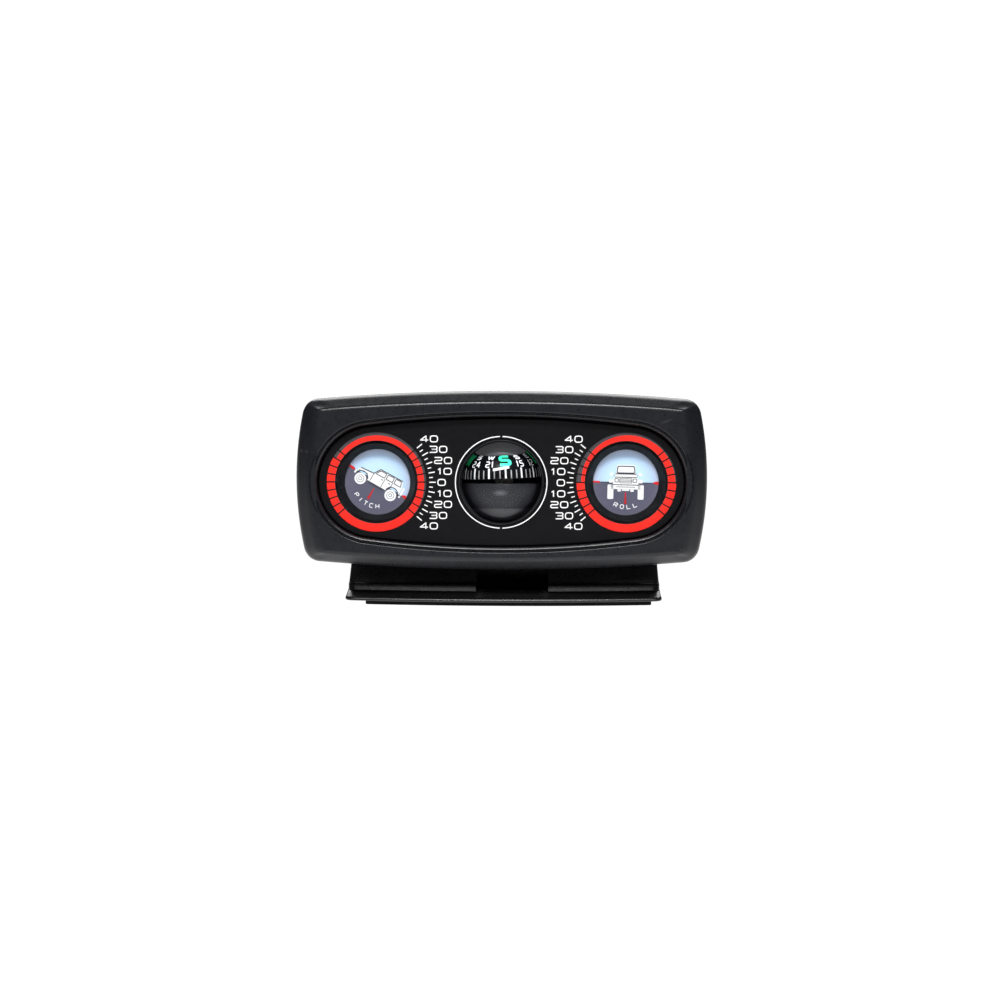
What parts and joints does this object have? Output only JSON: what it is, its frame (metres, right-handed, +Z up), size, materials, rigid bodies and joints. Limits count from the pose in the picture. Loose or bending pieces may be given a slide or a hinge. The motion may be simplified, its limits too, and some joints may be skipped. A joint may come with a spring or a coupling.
{
  "type": "inclinometer",
  "caption": "Dash-mounted vehicle inclinometer: pendulum pitch and roll dials either side of a ball compass, in a tilting housing on a flared adhesive base.",
  "frame": {"origin": "on the adhesive pad's underside, in the housing's middle plane", "axes": "+X to the driver's right along the housing, -Y towards the driver (the dials face -Y), +Z up"},
  "size_m": [0.13, 0.0475, 0.0682],
  "materials": {
    "housing_black": "fine satin texture",
    "base_black": "satin",
    "panel_black": "smooth semi-gloss",
    "case_black": "matte",
    "ring_grey": "matte, with printed red segments",
    "clear_plastic": "clear, polished",
    "disc_print": "printed, glossy",
    "bowl_dark": "gloss",
    "card_dark": "matte, with printed marks",
    "magnet_iron": "sintered ferrite",
    "jewel": "polished",
    "brass": "turned",
    "steel": "zinc plated",
    "nylon": "natural",
    "rubber_black": "matte",
    "foam": "closed-cell foam, matte"
  },
  "bodies": {
    "base": {"base_shell": "base_black", "base_plate": "base_black", "base_screws": "steel", "adhesive_pad": "foam", "tilt_pin": "steel", "tilt_washers": "nylon"},
    "housing": {"front_bezel": "housing_black", "rear_shell": "housing_black", "housing_screws": "steel", "face_panel": "panel_black", "pitch_ring": "ring_grey", "roll_ring": "ring_grey", "pitch_lens": "clear_plastic", "roll_lens": "clear_plastic", "pitch_case": "case_black", "roll_case": "case_black", "pitch_bridge": "case_black", "roll_bridge": "case_black", "pitch_bushes": "brass", "roll_bushes": "brass", "dial_case_screws": "steel", "bridge_screws": "steel", "compass_surround": "panel_black", "compass_cup": "case_black", "compass_cap": "case_black", "compass_screws": "steel", "compass_seal": "rubber_black", "compass_globe": "clear_plastic", "compass_plug": "nylon", "compass_bowl": "bowl_dark", "compass_pivot": "steel"},
    "pitch_pendulum": {"pitch_weight": "brass", "cross_shaft": "steel", "pitch_weight_gear": "nylon"},
    "pitch_dial": {"pitch_disc": "disc_print", "pitch_shaft": "steel", "pitch_disc_gear": "nylon"},
    "roll_dial": {"roll_disc": "disc_print", "roll_shaft": "steel", "roll_weight": "brass"},
    "compass_float": {"compass_card": "card_dark", "card_magnet": "magnet_iron", "card_jewel": "jewel"}
  },
  "joints": [
    {"name": "housing_tilt", "type": "hinge", "parent": "base", "child": "housing", "pos_m": [0.00335, 0.003, 0.013], "axis": [-1, 0, 0], "range_deg": [-8, 25]},
    {"name": "pitch_swing", "type": "hinge", "parent": "housing", "child": "pitch_pendulum", "pos_m": [-0.0394, -0.00113, 0.0376], "axis": [1, 0, 0], "continuous": true},
    {"name": "pitch_dial_turn", "type": "hinge", "parent": "housing", "child": "pitch_dial", "pos_m": [-0.0394, -0.00709, 0.03822], "axis": [0, -0.9945, 0.1045], "continuous": true},
    {"name": "roll_swing", "type": "hinge", "parent": "housing", "child": "roll_dial", "pos_m": [0.0394, -0.00709, 0.03822], "axis": [0, -0.9945, 0.1045], "continuous": true},
    {"name": "compass_turn", "type": "hinge", "parent": "housing", "child": "compass_float", "pos_m": [0, -0.01207, 0.03875], "axis": [-0.0349, 0.1045, 0.9939], "continuous": true}
  ],
  "couplings": [
    {"joint": "pitch_dial_turn", "follows": "pitch_swing", "ratio": -1}
  ]
}
